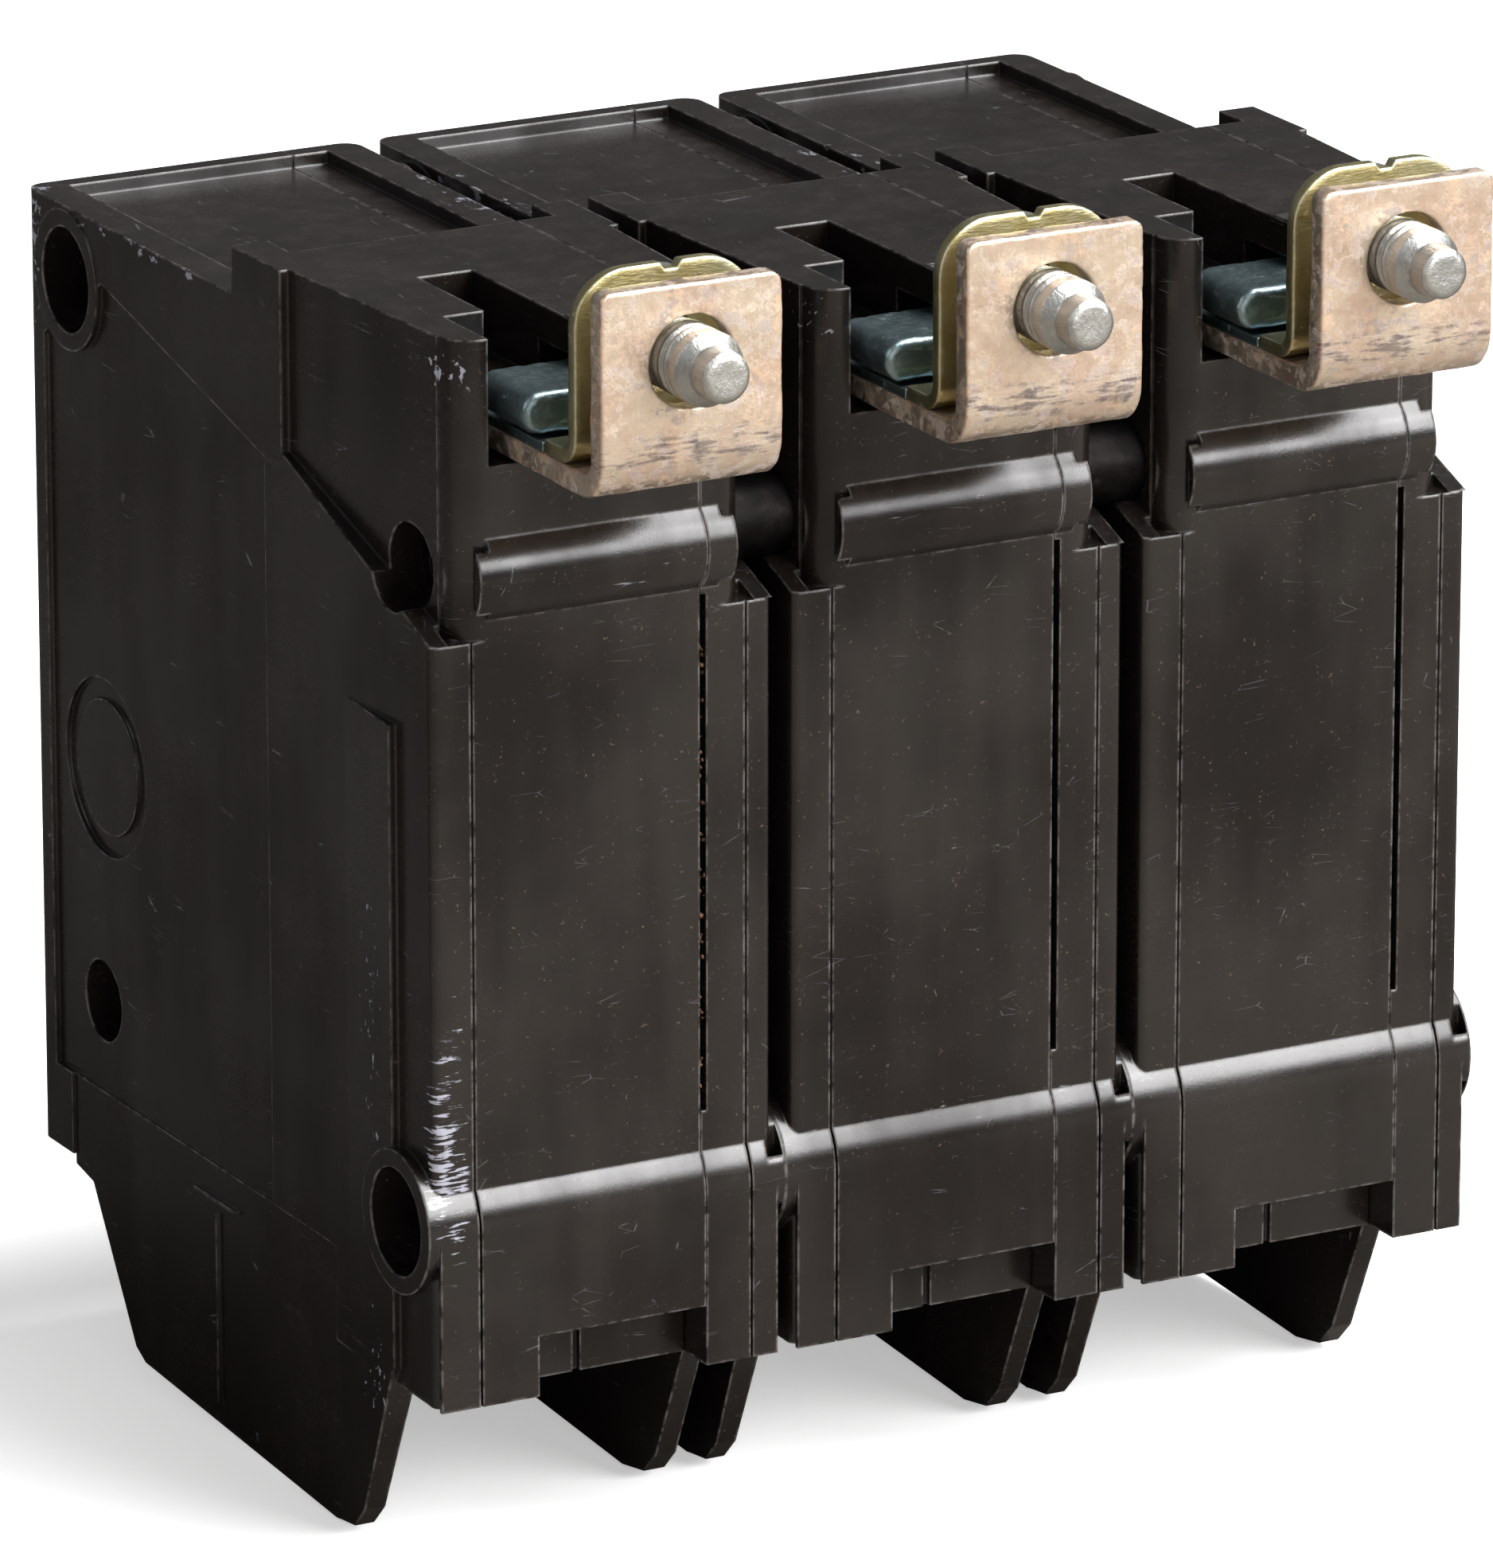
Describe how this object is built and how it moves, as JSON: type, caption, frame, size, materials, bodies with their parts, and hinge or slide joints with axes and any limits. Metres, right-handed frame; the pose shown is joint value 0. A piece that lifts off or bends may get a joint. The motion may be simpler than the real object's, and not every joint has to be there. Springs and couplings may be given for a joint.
{
  "type": "molded case circuit breaker",
  "caption": "Bolt-on molded case circuit breaker with tied toggle handles, bolted line tabs at the rear and box lugs between barriers at the load end.",
  "frame": {"origin": "the middle line bolt's axis in the rear face of its tab", "axes": "+Z to the line end, +Y out of the rear face towards the bus, +X across the poles towards pole a"},
  "size_m": [0.0762, 0.085, 0.0872],
  "materials": {
    "case_plastic": "satin moulded phenolic, worn",
    "handle_plastic": "satin moulded plastic",
    "copper": "pale stained copper",
    "yellow_zinc": "olive yellow zinc plate",
    "blue_zinc": "blue zinc plate",
    "bolt_steel": "matt zinc plated steel",
    "spring_steel": "drawn wire",
    "bimetal": "rolled strip",
    "silver": "dull silver",
    "lug_aluminium": "tin plated"
  },
  "bodies": {
    "case": {"case_base_a": "case_plastic", "case_cover_a": "case_plastic", "line_tab_a": "copper", "bolt_clip_a": "yellow_zinc", "steel_arm_a": "blue_zinc", "shim_plate_a": "blue_zinc", "arc_chute_a": "bolt_steel", "bimetal_a": "bimetal", "magnet_yoke_a": "bolt_steel", "load_lug_a": "lug_aluminium", "case_base_b": "case_plastic", "case_cover_b": "case_plastic", "line_tab_b": "copper", "bolt_clip_b": "yellow_zinc", "steel_arm_b": "blue_zinc", "shim_plate_b": "blue_zinc", "arc_chute_b": "bolt_steel", "bimetal_b": "bimetal", "magnet_yoke_b": "bolt_steel", "load_lug_b": "lug_aluminium", "case_base_c": "case_plastic", "case_cover_c": "case_plastic", "line_tab_c": "copper", "bolt_clip_c": "yellow_zinc", "steel_arm_c": "blue_zinc", "shim_plate_c": "blue_zinc", "arc_chute_c": "bolt_steel", "bimetal_c": "bimetal", "magnet_yoke_c": "bolt_steel", "load_lug_c": "lug_aluminium", "tie_rivets": "bolt_steel", "fixed_tips": "silver"},
    "handles": {"handle_a": "handle_plastic", "handle_b": "handle_plastic", "handle_c": "handle_plastic", "handle_tie": "handle_plastic"},
    "contact_arms": {"contact_arm_a": "copper", "contact_arm_b": "copper", "contact_arm_c": "copper", "toggle_spring_a": "spring_steel", "toggle_spring_b": "spring_steel", "toggle_spring_c": "spring_steel", "moving_tips": "silver"},
    "trip_unit": {"trip_bar": "handle_plastic", "armature_a": "blue_zinc", "armature_b": "blue_zinc", "armature_c": "blue_zinc"},
    "cradles": {"cradle_a": "blue_zinc", "cradle_b": "blue_zinc", "cradle_c": "blue_zinc"},
    "line_bolt_a": {"line_bolt_a": "bolt_steel"},
    "pressure_pad_a": {"pressure_pad_a": "bolt_steel"},
    "lug_screw_a": {"lug_screw_a": "bolt_steel"},
    "line_bolt_b": {"line_bolt_b": "bolt_steel"},
    "pressure_pad_b": {"pressure_pad_b": "bolt_steel"},
    "lug_screw_b": {"lug_screw_b": "bolt_steel"},
    "line_bolt_c": {"line_bolt_c": "bolt_steel"},
    "pressure_pad_c": {"pressure_pad_c": "bolt_steel"},
    "lug_screw_c": {"lug_screw_c": "bolt_steel"}
  },
  "joints": [
    {"name": "handle_swing", "type": "hinge", "parent": "case", "child": "handles", "pos_m": [0, -0.0598, -0.0406], "axis": [-1, 0, 0], "range_deg": [0, 48]},
    {"name": "contact_swing", "type": "hinge", "parent": "case", "child": "contact_arms", "pos_m": [0, -0.048, -0.0333], "axis": [-1, 0, 0], "range_deg": [0, 20]},
    {"name": "trip_swing", "type": "hinge", "parent": "case", "child": "trip_unit", "pos_m": [0, -0.0305, -0.0172], "axis": [1, 0, 0], "range_deg": [0, 6], "stiffness_Nm_per_rad": 0.01, "springref_deg": -17.19},
    {"name": "cradle_swing", "type": "hinge", "parent": "case", "child": "cradles", "pos_m": [0, -0.044, -0.0453], "axis": [-1, 0, 0], "range_deg": [0, 15]},
    {"name": "line_bolt_a_turn", "type": "hinge", "parent": "case", "child": "line_bolt_a", "pos_m": [0.0254, 0, 0], "axis": [0, 1, 0], "continuous": true},
    {"name": "pad_a_travel", "type": "slide", "parent": "case", "child": "pressure_pad_a", "axis": [0, 1, 0], "range_m": [0, 0.004]},
    {"name": "lug_screw_a_turn", "type": "hinge", "parent": "pressure_pad_a", "child": "lug_screw_a", "pos_m": [0.0254, -0.056, -0.0644], "axis": [0, 1, 0], "range_deg": [0, 1800]},
    {"name": "line_bolt_b_turn", "type": "hinge", "parent": "case", "child": "line_bolt_b", "pos_m": [0, 0, 0], "axis": [0, 1, 0], "continuous": true},
    {"name": "pad_b_travel", "type": "slide", "parent": "case", "child": "pressure_pad_b", "axis": [0, 1, 0], "range_m": [0, 0.004]},
    {"name": "lug_screw_b_turn", "type": "hinge", "parent": "pressure_pad_b", "child": "lug_screw_b", "pos_m": [0, -0.056, -0.0644], "axis": [0, 1, 0], "range_deg": [0, 1800]},
    {"name": "line_bolt_c_turn", "type": "hinge", "parent": "case", "child": "line_bolt_c", "pos_m": [-0.0254, 0, 0], "axis": [0, 1, 0], "continuous": true},
    {"name": "pad_c_travel", "type": "slide", "parent": "case", "child": "pressure_pad_c", "axis": [0, 1, 0], "range_m": [0, 0.004]},
    {"name": "lug_screw_c_turn", "type": "hinge", "parent": "pressure_pad_c", "child": "lug_screw_c", "pos_m": [-0.0254, -0.056, -0.0644], "axis": [0, 1, 0], "range_deg": [0, 1800]}
  ],
  "couplings": [
    {"joint": "contact_swing", "follows": "handle_swing", "ratio": 0.41666},
    {"joint": "lug_screw_a_turn", "follows": "pad_a_travel", "rad_per_m": 7853.9},
    {"joint": "lug_screw_b_turn", "follows": "pad_b_travel", "rad_per_m": 7853.9},
    {"joint": "lug_screw_c_turn", "follows": "pad_c_travel", "rad_per_m": 7853.9}
  ]
}
